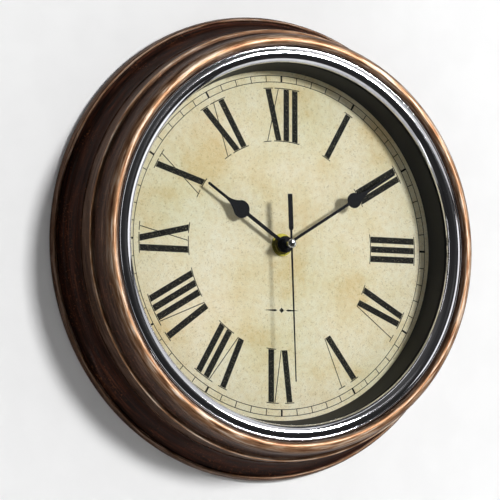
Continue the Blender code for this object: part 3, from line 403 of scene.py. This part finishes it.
# %% Metals
def metal(name, dark, light, grain, low, high):
    """A worked metal: two tones in a fine grain and a range of roughness."""
    material, tree = new_finish(name)
    place = add(tree, "TexCoord").outputs["Object"]
    noise = add(tree, "TexNoise", {"Vector": place, "Scale": 1 / grain, "Detail": 4,
                                   "Roughness": 0.6})
    tone = add(tree, "ValToRGB", {"Fac": noise.outputs["Fac"]}, stops=[(0.3, dark), (0.7, light)])
    rough = add(tree, "MapRange", {"Value": noise.outputs["Fac"], "To Min": low, "To Max": high})
    close(tree, add(tree, "BsdfPrincipled", {
        "Base Color": tone.outputs[0], "Metallic": 1.0, "Roughness": rough.outputs[0]}).outputs[0])
    print(name, "grain", grain, "m")
    return material


zinc = metal("zinc_plated_steel", "#a3a6ab", "#c6c9cd", 3 * MM, 0.28, 0.45)
brass = metal("turned_brass", "#6a6126", "#a89f48", 0.8 * MM, 0.45, 0.6)
soft_iron = metal("soft_iron", "#6f6f72", "#8d8d91", 1.5 * MM, 0.35, 0.5)
copper_wire = metal("enamelled_copper_wire", "#8a3f20", "#c06a3c", 0.3 * MM, 0.3, 0.45)
hardboard = moulded("raw_hardboard", "#6e4d30", "#9a7650", 1.8 * MM, 0.75, 0.9)
board = moulded("circuit_board", "#14502c", "#1d6a3c", 2.5 * MM, 0.35, 0.5)
jacket = moulded("battery_jacket", "#22324e", "#2b3f60", 5 * MM, 0.25, 0.35)

# %% [markdown]
# ## Finishes for the parts that keep their shape
#
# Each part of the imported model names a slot, so one table gives every part its finish. The shapes
# are not touched.

# %% Finishes by slot
FINISHES = {
    "bronze": bronze, "chrome": chrome, "clear_glass": glass, "black_surround": black_wall,
    "parchment": parchment, "hardboard": hardboard, "hand_black": lacquer, "zinc_steel": zinc,
    "movement_black": black_shell, "black_rubber": rubber, "brass": brass,
    "acetal": white_acetal, "ferrite": dark_ferrite, "iron": soft_iron, "copper": copper_wire,
    "circuit_card": board, "battery_jacket": jacket}
for part in frame["record"]["subparts"]:
    mesh = frame["nodes"][part["node"]].data
    mesh.materials.clear()
    mesh.materials.append(FINISHES[part["material_slot"]])
print(len(FINISHES), "finishes on", len(frame["nodes"]), "parts")

# %% [markdown]
# ## From the clock's own axes to the frame
#
# Clock parts are easiest to think of as turned: millimetres from the hands' axis, with z out of the
# dial towards the viewer. One matrix takes a finished mesh from there to the frame.

# %% Placing and finishing a piece
TO_FRAME = (Matrix.Translation((HANDS_AXIS.x, DIAL_FRONT, HANDS_AXIS.z))
            @ Matrix.Rotation(math.pi / 2, 4, "X") @ Matrix.Scale(MM, 4))
SHARP = math.radians(20)        # edges that turn more than this stay crisp
WELD = 1e-4


def finish_piece(bm, name, body, slot, material, *nodes):
    """Cleans a bmesh made in clock millimetres, places it, and gives it body and finish; slot is not used."""
    bmesh.ops.remove_doubles(bm, verts=bm.verts, dist=WELD)
    bmesh.ops.recalc_face_normals(bm, faces=bm.faces)
    bmesh.ops.transform(bm, matrix=TO_FRAME, verts=bm.verts)
    mesh = bpy.data.meshes.new(name)
    bm.to_mesh(mesh)
    bm.free()
    mesh.shade_smooth()
    mesh.set_sharp_from_angle(angle=SHARP)
    mesh.materials.append(material)
    piece = bpy.data.objects.new(name, mesh)
    bpy.context.scene.collection.objects.link(piece)
    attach(piece, body)
    if nodes:
        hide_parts(*nodes)
    print(name, len(mesh.polygons), "faces on", body)
    return piece


# %% [markdown]
# ## Turned rings
#
# The case, the chrome ring and the black wall are all turned shapes: an outline of radius and
# height, spun once round the axis. Real mouldings have no perfectly sharp corner, so each corner of
# an outline may be softened, which is what catches the thin lines of light.


# %% Outline helpers
def arc(centre, wide, high, start, end, steps):
    """Points along an ellipse; 0 degrees points away from the axis and 90 towards the viewer."""
    turns = [math.radians(start + (end - start) * i / steps) for i in range(steps + 1)]
    return [(centre[0] + wide * math.cos(t), centre[1] + high * math.sin(t), 0) for t in turns]


def softened(outline, steps=5):
    """Rounds each corner of an outline over as many millimetres as its third number says."""
    points = []
    for i, (r, h, soft) in enumerate(outline):
        if not soft:
            points.append((r, h))
            continue
        corner = Vector((r, h))
        before, after = Vector(outline[i - 1][:2]), Vector(outline[(i + 1) % len(outline)][:2])
        start = corner + (before - corner).normalized() * soft
        end = corner + (after - corner).normalized() * soft
        for k in range(steps + 1):
            t = k / steps
            point = start * (1 - t) ** 2 + corner * 2 * t * (1 - t) + end * t ** 2
            points.append((point.x, point.y))
    return points


def spin_outline(bm, points, sides, closed=True):
    """Spins an outline of (radius, height) once round the clock's axis."""
    corners = [bm.verts.new((r, 0, h)) for r, h in points]
    ends = corners[1:] + corners[:1] if closed else corners[1:]
    edges = [bm.edges.new(pair) for pair in zip(corners, ends)]
    bmesh.ops.spin(bm, geom=corners + edges, cent=(0, 0, 0), axis=(0, 0, 1),
                   angle=2 * math.pi, steps=sides, use_merge=True)


RING_SIDES = 240                # a side is then about four millimetres long on the rim
print("rings have", RING_SIDES, "sides")

# %% [markdown]
# ## The case
#
# From the chrome outwards the case has one bold bead, a steep neck, a small shoulder, a nearly
# straight band, a wide hollow cove and a thin rim against the wall. Behind, the shell follows the
# same curves and carries the bosses for the screws. Each corner is a radius, a height in front of
# the dial and how far the corner is softened.

# %% The case
CASE_OUTLINE = (
    [(129.1, 18.9, 0), (137.6, 18.9, 0)]
    + arc((141.0, 22.0), 3.4, 3.4, 180, 90, 14) + arc((141.0, 19.9), 5.5, 5.5, 90, 0, 22)[1:]
    + [(146.2, 18.6, 0.4), (146.4, 16.6, 0.8), (147.4, 12.2, 1.5), (148.3, 9.2, 0.6),
       (151.5, 8.7, 1.2), (151.7, -3.7, 0.2), (152.6, -3.9, 0.35)]
    + arc((163.3, -5.4), 10.6, 16.6, 186, 262, 26)
    + arc((163.5, -22.2), 1.2, 1.2, 140, 20, 10)
    + [(165.6, -24.9, 0.5), (165.2, -27.0, 0.3), (160.6, -27.0, 0)]
    + arc((163.2, -4.7), 14.4, 19.6, 258, 180, 16)
    + [(148.6, 3.0, 1.0), (145.4, 8.0, 1.0), (142.5, 15.0, 1.0), (129.1, 15.0, 0)])
BOSS_R, BOSS_BORE_R, BOSS_HOLE, BOSS_SIDES = 4.0, 1.5, 10.0, 32
PLATE_BOSS = (16.2, -0.4)       # top and foot of each boss, in front of the dial
HANGER_BOSS = (6.6, -23.4)
PLATE_SCREWS, HANGER_SCREWS = 6, 2


def add_boss(bm, x, y, top, foot):
    """A screw boss with a blind hole in its foot."""
    before = set(bm.verts)
    spin_outline(bm, [(0, top), (BOSS_R, top), (BOSS_R, foot), (BOSS_BORE_R, foot),
                      (BOSS_BORE_R, foot + BOSS_HOLE), (0, foot + BOSS_HOLE)], BOSS_SIDES,
                 closed=False)
    bmesh.ops.translate(bm, vec=(x, y, 0), verts=[v for v in bm.verts if v not in before])


def middle_of(node):
    """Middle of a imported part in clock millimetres, seen from the front."""
    low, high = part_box(node)
    middle = (low + high) / 2 - HANDS_AXIS
    return middle.x / MM, middle.z / MM


bm = bmesh.new()
spin_outline(bm, softened(CASE_OUTLINE), RING_SIDES)
for i in range(1, PLATE_SCREWS + 1):
    add_boss(bm, *middle_of(f"plate_screw_{i}"), *PLATE_BOSS)
for i in range(1, HANGER_SCREWS + 1):
    add_boss(bm, *middle_of(f"hanger_screw_{i}"), *HANGER_BOSS)
finish_piece(bm, "moulded_case", "case", "bronze", bronze, "case_frame")

# %% [markdown]
# ## The chrome ring
#
# A pressed ring holds the glass. It rises to a rounded crown, dips into a fine groove and ends in a
# small outer lip, so it shows several lines of light side by side.

# %% The chrome ring
CHROME_OUTLINE = (
    [(126.4, 19.2, 0)] + arc((132.5, 19.5), 6.1, 3.9, 176, 62, 30)
    + [(135.5, 22.7, 0.3)] + arc((136.1, 21.9), 1.2, 1.2, 115, 0, 12) + [(137.3, 19.2, 0)])
bm = bmesh.new()
spin_outline(bm, softened(CHROME_OUTLINE), RING_SIDES)
finish_piece(bm, "chrome_bezel", "case", "chrome", chrome, "bezel_ring")

# %% [markdown]
# ## The black wall and the glass
#
# The wall opens slightly towards the glass, with a ledge behind it that is clamped under the case.
# The glass is a ground disc with a tiny chamfer.

# %% The black wall and the glass
WALL_OUTLINE = [(123.2, 0.3, 0), (126.2, 16.2, 0.3), (126.6, 16.6, 0.2), (128.0, 16.6, 0),
                (128.0, 14.7, 0), (132.0, 14.7, 0), (132.0, 13.2, 0), (127.7, 13.2, 0),
                (125.1, 0.3, 0)]
bm = bmesh.new()
spin_outline(bm, softened(WALL_OUTLINE), RING_SIDES)
finish_piece(bm, "black_dial_wall", "case", "black_surround", black_wall, "dial_surround")

GLASS_OUTLINE = [(0, 18.8), (128.5, 18.8), (128.8, 18.5), (128.8, 17.2), (128.5, 16.9), (0, 16.9)]
GLASS_SIDES = 128
bm = bmesh.new()
spin_outline(bm, GLASS_OUTLINE, GLASS_SIDES, closed=False)
finish_piece(bm, "flat_glass", "case", "clear_glass", glass, "lens_glass")

# %% [markdown]
# ## The printed dial
#
# Ink has no thickness that can be seen, but it needs its own sharp edges and its own finish. Each
# stroke is a thin plate that stands a few hundredths of a millimetre off the paper. Strokes end on
# circles round the hands, as they do on a real dial, and fine serifs run along those circles.

# %% Stroke helpers
INK_LIFT, INK_THICK = 0.02, 0.03
STROKE_IN, STROKE_OUT = 74.0, 110.5
SERIF_IN, SERIF_OUT = 73.5, 111.0
SERIF_STEPS = 6
BAR = 4.5                       # width of a thick stroke
FINE = 0.62                     # width of a hairline
BEYOND = 1.5                    # serif beyond the side of a bar


def on_circle(across, radius):
    """A point this far across from a numeral's own line, on a circle round the hands."""
    return across, math.sqrt(radius ** 2 - across ** 2)


def add_stroke(bm, low, high, wide):
    """A straight stroke from the inner to the outer circle; low and high are its middles."""
    half = wide / 2
    corners = [on_circle(low - half, STROKE_IN), on_circle(low + half, STROKE_IN),
               on_circle(high + half, STROKE_OUT), on_circle(high - half, STROKE_OUT)]
    return bm.faces.new([bm.verts.new((x, y, 0)) for x, y in corners])


def add_arc(bm, radius, wide, start, turn, steps):
    """A band along a circle, from a start angle clockwise from the top, in degrees."""
    begin = math.radians(90 - start)
    ends = [bm.verts.new((r * math.cos(begin), r * math.sin(begin), 0))
            for r in (radius - wide / 2, radius + wide / 2)]
    edge = bm.edges.new(ends)
    bmesh.ops.spin(bm, geom=ends + [edge], cent=(0, 0, 0), axis=(0, 0, -1),
                   angle=math.radians(turn), steps=steps, use_merge=abs(turn) == 360)


def add_serif(bm, radius, left, right):
    """A hairline along the circle from left to right of the numeral's own line."""
    start = math.degrees(math.asin(left / radius))
    end = math.degrees(math.asin(right / radius))
    add_arc(bm, radius, FINE, start, end - start, SERIF_STEPS)


def raise_ink(bm):
    """Gives flat ink its thickness."""
    bmesh.ops.remove_doubles(bm, verts=bm.verts, dist=WELD)
    top = bmesh.ops.extrude_face_region(bm, geom=bm.faces[:], use_keep_orig=True)["geom"]
    bmesh.ops.translate(bm, vec=(0, 0, INK_THICK),
                        verts=[g for g in top if isinstance(g, bmesh.types.BMVert)])
    bmesh.ops.translate(bm, vec=(0, 0, INK_LIFT), verts=bm.verts)


# %% [markdown]
# Each numeral is a short list of strokes. A bar is one number, its distance from the numeral's
# own line. V and X name their middle, and their strokes lean by fixed amounts.

# %% The twelve numerals
NUMERALS = {
    1: [0.0], 2: [-3.45, 3.45], 3: [-6.9, 0.0, 6.9], 4: [-8.2, ("V", 2.5)], 5: [("V", 0.0)],
    6: [("V", -1.75), 8.4], 7: [("V", -5.1), 5.1, 12.0], 8: [("V", -8.2), 2.0, 8.9, 15.8],
    9: [-6.2, ("X", 4.5)], 10: [("X", 0.0)], 11: [("X", -2.6), 7.8],
    12: [("X", -6.6), 4.0, 10.9]}
V_THICK = (-0.5, -4.6)          # inner and outer ends, from the letter's middle
V_THIN = (2.2, 7.2)
X_THICK = (4.4, -4.1)
HOUR_DEGREES, MINUTE_DEGREES = 30, 6


def add_numeral(bm, parts):
    """One numeral, upright above the hands."""
    spans = {SERIF_IN: [], SERIF_OUT: []}
    for part in parts:
        if not isinstance(part, tuple):
            add_stroke(bm, part, part, BAR)
            for ends in spans.values():
                ends.append((part - BAR / 2 - BEYOND, part + BAR / 2 + BEYOND))
            continue
        letter, middle = part
        thick, thin = (V_THICK, V_THIN) if letter == "V" else (X_THICK, (-X_THICK[0], -X_THICK[1]))
        add_stroke(bm, middle + thick[0], middle + thick[1], BAR)
        add_stroke(bm, middle + thin[0], middle + thin[1], FINE)
        for ends, end in ((spans[SERIF_IN], 0), (spans[SERIF_OUT], 1)):
            if letter == "V" and end == 0:
                continue
            ends.append((middle + thick[end] - BAR / 2 - BEYOND,
                         middle + thick[end] + BAR / 2 + BEYOND))
            ends.append((middle + thin[end] - 2 * BEYOND, middle + thin[end] + 2 * BEYOND))
    for radius, ends in spans.items():
        for left, right in ends:
            add_serif(bm, radius, left, right)


bm = bmesh.new()
for hour, parts in NUMERALS.items():
    before = set(bm.verts)
    add_numeral(bm, parts)
    clockwise = Matrix.Rotation(-math.radians(HOUR_DEGREES * hour), 3, "Z")
    bmesh.ops.rotate(bm, cent=(0, 0, 0), matrix=clockwise,
                     verts=[v for v in bm.verts if v not in before])
raise_ink(bm)
finish_piece(bm, "roman_numerals", "case", "parchment", ink)

# %% [markdown]
# The minute track is two fine circles with a tick for each minute and a heavier one for each
# hour. Below the hands, where a dial often carries a word, this one has a plain ornament: a
# lozenge between two tapering strokes.

# %% Minute track and ornament
TRACK_IN, TRACK_OUT, TRACK_LINE = 115.4, 120.0, 0.5
HOUR_TICK, MINUTE_TICK = 1.4, 0.6
bm = bmesh.new()
for radius in (TRACK_IN, TRACK_OUT):
    add_arc(bm, radius, TRACK_LINE, 0, 360, RING_SIDES)
for minute in range(60):
    wide = HOUR_TICK if minute % 5 == 0 else MINUTE_TICK
    half = math.degrees(wide / 2 / TRACK_IN)
    add_arc(bm, (TRACK_IN + TRACK_OUT) / 2, TRACK_OUT - TRACK_IN, MINUTE_DEGREES * minute - half,
            2 * half, 1)
raise_ink(bm)
finish_piece(bm, "minute_track", "case", "parchment", fine_ink)

ORNAMENT_Y, ORNAMENT_HALF, LOZENGE = -46.0, 14.0, 1.9
TAPER_START, TAPER_WIDEST, TAPER_HALF = 3.4, 5.0, 0.75
bm = bmesh.new()
for side in (-1, 1):
    bm.faces.new([bm.verts.new((side * x, ORNAMENT_Y + y, 0)) for x, y in
                  ((TAPER_START, 0.0), (TAPER_WIDEST, TAPER_HALF), (ORNAMENT_HALF, 0.0),
                   (TAPER_WIDEST, -TAPER_HALF))])
bm.faces.new([bm.verts.new((x, ORNAMENT_Y + y, 0)) for x, y in
              ((-LOZENGE, 0), (0, LOZENGE), (LOZENGE, 0), (0, -LOZENGE))])
raise_ink(bm)
finish_piece(bm, "dial_ornament", "case", "parchment", fine_ink)

# %% [markdown]
# ## The hands
#
# Hour and minute hands are the same pattern in two sizes: a round boss, a slim stem, a disc, and a
# hollow-sided neck that runs out into a long blunt needle. They are stamped, so their upper edge
# is very slightly rounded.


# %% Hand helpers
BORE_SIDES = 32
NECK_STEPS = 10


def disc_points(middle, radius, start, end, steps):
    """Points round a disc on the hand's line; 0 degrees points at the tip."""
    turns = [math.radians(start + (end - start) * i / steps) for i in range(steps + 1)]
    return [(radius * math.sin(t), middle + radius * math.cos(t)) for t in turns]


def stamped(bm, half, bore, low, thick, soft):
    """A flat plate from half an outline, mirrored, with a round bore and softened front edges."""
    points = half + [(-x, y) for x, y in reversed(half) if abs(x) > 1e-6]
    outer = [bm.verts.new((x, y, low)) for x, y in points]
    edges = [bm.edges.new(pair) for pair in zip(outer, outer[1:] + outer[:1])]
    hole = bmesh.ops.create_circle(bm, cap_ends=False, segments=BORE_SIDES, radius=bore,
                                   matrix=Matrix.Translation((0, 0, low)))["verts"]
    edges += list({e for v in hole for e in v.link_edges})
    bmesh.ops.triangle_fill(bm, use_beauty=True, use_dissolve=False, edges=edges)
    top = bmesh.ops.extrude_face_region(bm, geom=bm.faces[:], use_keep_orig=True)["geom"]
    raised = [g for g in top if isinstance(g, bmesh.types.BMVert)]
    bmesh.ops.translate(bm, vec=(0, 0, thick), verts=raised)
    rim = [e for e in bm.edges if all(v.co.z > low + thick / 2 for v in e.verts)
           and len(e.link_faces) == 2 and abs(e.calc_face_angle(0)) > 1]
    bmesh.ops.bevel(bm, geom=rim, offset=soft, segments=2, affect="EDGES", profile=0.5,
                    material=-1)


def spade(boss, stem, disc_y, disc_r, neck_y, needle, tip):
    """Half the outline of a spade hand, from the back of its boss to its tip."""
    half = disc_points(0, boss, 180, 12, 20)
    joint_y = disc_y - math.sqrt(disc_r ** 2 - stem ** 2)
    half += [(stem, boss + 0.6), (stem, joint_y - 0.6)]
    half += disc_points(disc_y, disc_r, 166, 44, 20)
    shoulder_x, shoulder_y = half[-1]
    for i in range(1, NECK_STEPS + 1):
        part = i / NECK_STEPS
        half.append((needle + (shoulder_x - needle) * (1 - part) ** 2,
                     shoulder_y + (neck_y - shoulder_y) * part))
    return half + disc_points(tip - needle * 0.9, needle * 0.9, 80, 0, 6)


def turn_clockwise(bm, degrees):
    """Turns a hand from twelve to where it points."""
    bmesh.ops.rotate(bm, cent=(0, 0, 0), matrix=Matrix.Rotation(-math.radians(degrees), 3, "Z"),
                     verts=bm.verts)


# %% The hour and minute hands
HOUR_AT, MINUTE_AT, SECOND_AT = 303.5, 58.5, 178.0
SHEET, EDGE = 0.6, 0.12         # thickness of the metal, and how far its edge is rounded
bm = bmesh.new()
outline = spade(boss=6.0, stem=1.3, disc_y=41.8, disc_r=6.25, neck_y=56.0, needle=1.0, tip=73.0)
stamped(bm, outline, bore=2.65, low=5.2, thick=SHEET, soft=EDGE)
turn_clockwise(bm, HOUR_AT)
finish_piece(bm, "spade_hour_hand", "hours", "hand_black", lacquer, "hour_hand")

bm = bmesh.new()
outline = spade(boss=4.8, stem=1.0, disc_y=64.0, disc_r=5.5, neck_y=80.0, needle=0.9, tip=104.0)
stamped(bm, outline, bore=1.7, low=8.7, thick=SHEET, soft=EDGE)
turn_clockwise(bm, MINUTE_AT)
finish_piece(bm, "spade_minute_hand", "minutes", "hand_black", lacquer, "minute_hand")

# %% [markdown]
# The second hand is a long fine needle with a wide counterweight tail. A short collar presses it
# onto the arbor, and a domed cap finishes it.

# %% The second hand and its cap
bm = bmesh.new()
needle = [(1.8, -34.7), (1.8, -10.9), (1.6, -10.0), (0.8, -9.0)]
needle += disc_points(0, 2.6, 162, 16, 16) + [(0.7, 10.0), (0.35, 95.9), (0.2, 96.4)]
stamped(bm, needle, bore=0.6, low=14.2, thick=0.4, soft=0.08)
collar = [(0.6, 14.2), (1.2, 14.2), (1.2, 11.2), (1.1, 11.1), (0.6, 11.1)]
spin_outline(bm, collar, BORE_SIDES)
turn_clockwise(bm, SECOND_AT)
finish_piece(bm, "fine_second_hand", "seconds", "hand_black", lacquer, "second_hand")

CAP_SIDES = 48
CAP_OUTLINE = ([(0, 16.4)] + [(r, h) for r, h, _ in arc((0, 15.2), 3.25, 1.2, 80, 0, 12)]
               + [(3.25, 14.9), (0, 14.9)])
bm = bmesh.new()
spin_outline(bm, CAP_OUTLINE, CAP_SIDES, closed=False)
cap_slot = next(part["material_slot"] for part in frame["record"]["subparts"]
                if part["node"] == "second_hand_cap")
finish_piece(bm, "domed_cap", "seconds", cap_slot, FINISHES[cap_slot], "second_hand_cap")

# %% [markdown]
# ## Wall, floor and lamps
#
# The clock hangs on a pale wall, and a pale floor lies well below it. So that the back can be
# looked at too, the wall can't be seen from behind, and a round hole in it, hidden by the case,
# lets in the light of two lamps behind. One lamp at the upper right gives the soft shadow on the
# wall, and windows and strips give the chrome its hard white lines.

# %% Wall and floor
WALL_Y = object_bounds()[1].y + 0.5 * MM
WALL_SIZE, FLOOR_DEPTH, FLOOR_Z = 5.0, 1.6, -1.5
HOLE_SIDES = 96
HOLE_INSET = 5 * MM             # the hole is this much smaller than the case all round
PLASTER_MOTTLE, FLOOR_MOTTLE = 33 * MM, 50 * MM


def add_plane(name, corners, material, hole=None):
    """A flat stage piece. hole is the radius of a round hole behind the clock."""
    bm = bmesh.new()
    rim = [bm.verts.new(c) for c in corners]
    if hole:
        edges = [bm.edges.new(pair) for pair in zip(rim, rim[1:] + rim[:1])]
        place = Matrix.Translation((HANDS_AXIS.x, WALL_Y, HANDS_AXIS.z))
        ring = bmesh.ops.create_circle(bm, segments=HOLE_SIDES, radius=hole,
                                       matrix=place @ Matrix.Rotation(math.pi / 2, 4, "X"))
        edges += list({e for v in ring["verts"] for e in v.link_edges})
        bmesh.ops.triangle_fill(bm, use_beauty=True, edges=edges)
        if bm.faces[:][0].normal.y > 0:
            bmesh.ops.reverse_faces(bm, faces=bm.faces)
    else:
        bm.faces.new(rim)
    mesh = bpy.data.meshes.new(name)
    bm.to_mesh(mesh)
    bm.free()
    mesh.materials.append(material)
    thing = bpy.data.objects.new(name, mesh)
    bpy.context.scene.collection.objects.link(thing)
    return thing


plaster, tree = new_finish("white_plaster")
place = add(tree, "TexCoord").outputs["Object"]
noise = add(tree, "TexNoise", {"Vector": place, "Scale": 1 / PLASTER_MOTTLE})
tone = add(tree, "ValToRGB", {"Fac": noise.outputs["Fac"]},
           stops=[(0.4, "#f6f6f6"), (0.6, "#f8f8f8")])
front = add(tree, "BsdfDiffuse", {"Color": tone.outputs[0]})
behind = add(tree, "NewGeometry").outputs["Backfacing"]
looked_at = add(tree, "LightPath").outputs["Is Camera Ray"]
unseen = add(tree, "Math", {0: behind, 1: looked_at}, operation="MULTIPLY")
close(tree, add(tree, "MixShader", {0: unseen.outputs[0], 1: front.outputs[0],
                                    2: add(tree, "BsdfTransparent").outputs[0]}).outputs[0])

floor_paint, tree = new_finish("pale_floor_paint")
place = add(tree, "TexCoord").outputs["Object"]
noise = add(tree, "TexNoise", {"Vector": place, "Scale": 1 / FLOOR_MOTTLE})
tone = add(tree, "ValToRGB", {"Fac": noise.outputs["Fac"]},
           stops=[(0.4, "#dcdcdc"), (0.6, "#e2e2e2")])
close(tree, add(tree, "BsdfDiffuse", {"Color": tone.outputs[0]}).outputs[0])

half = WALL_SIZE / 2
add_plane("wall", [(-half, WALL_Y, FLOOR_Z), (half, WALL_Y, FLOOR_Z), (half, WALL_Y, half),
                   (-half, WALL_Y, half)], plaster, CASE_RADIUS - HOLE_INSET)
add_plane("floor", [(-half, -FLOOR_DEPTH, FLOOR_Z), (half, -FLOOR_DEPTH, FLOOR_Z),
                    (half, WALL_Y, FLOOR_Z), (-half, WALL_Y, FLOOR_Z)], floor_paint)
print("wall at y", round(WALL_Y, 4), "floor at z", FLOOR_Z)

# %% [markdown]
# The glass is a mirror too. Seen from the camera it shows what stands level with the clock, a
# third of the way round to the right, so no lamp stands there. The window and the strips stand
# where only the curved chrome finds them.

# %% Lamps
CLOCK_MIDDLE = Vector((0, -0.03, -0.148))
LAMPS = {                       # azimuth, elevation, distance, width, height and power
    "key": (32, 17.5, 4.4, 0.75, 0.75, 172),
    "window": (60, 30, 3.0, 2.3, 2.0, 11),
    "low_window": (66, -3, 2.2, 1.2, 0.9, 4.8),
    "top_strip": (-10, 60, 1.9, 2.6, 0.12, 2.0),
    "back_left": (150, 25, 1.6, 0.8, 0.8, 26),
    "back_right": (215, 20, 1.6, 0.8, 0.8, 26),
    "left_strip": (-62, 12, 2.0, 0.10, 1.6, 2.2),
    "low_strip": (-50, -38, 2.0, 1.2, 0.10, 1.6)}


def add_lamp(name, azimuth, elevation, distance, wide, high, power):
    """A soft rectangular lamp that faces the clock."""
    data = bpy.data.lights.new(name, "AREA")
    data.shape = "RECTANGLE"
    data.size, data.size_y, data.energy = wide, high, power
    place = CLOCK_MIDDLE + away(math.radians(azimuth), math.radians(elevation), distance)
    return aimed(name, data, place, CLOCK_MIDDLE)


for name, settings in LAMPS.items():
    add_lamp(name, *settings)
print(len(LAMPS), "lamps")

# %% [markdown]
# The room around is nearly black at the height of the clock, so that the chrome has dark bands
# between its white lines. The camera sees the same room as plain pale paper.

# %% The room
world = bpy.data.worlds.new("studio")
bpy.context.scene.world = world
world.use_nodes = True
tree = world.node_tree
tree.nodes.clear()
heading = add(tree, "TexCoord").outputs["Generated"]
rise = add(tree, "SeparateXYZ", {0: heading}).outputs["Z"]
glow = add(tree, "ValToRGB", {"Fac": add(tree, "MapRange", {
    "Value": rise, "From Min": -1, "From Max": 1}).outputs[0]},
    stops=[(0.0, 0.06), (0.40, 0.02), (0.60, 0.03), (0.80, 0.08)])
room = add(tree, "Background", {"Color": glow.outputs[0], "Strength": 1.0})
paper_white = add(tree, "Background", {"Color": "#eeeeee", "Strength": 1.0})
seen = add(tree, "LightPath").outputs["Is Camera Ray"]
mixed = add(tree, "MixShader", {0: seen, 1: room.outputs[0], 2: paper_white.outputs[0]})
add(tree, "OutputWorld", {"Surface": mixed.outputs[0]})
bpy.context.scene.view_settings.view_transform = "Standard"
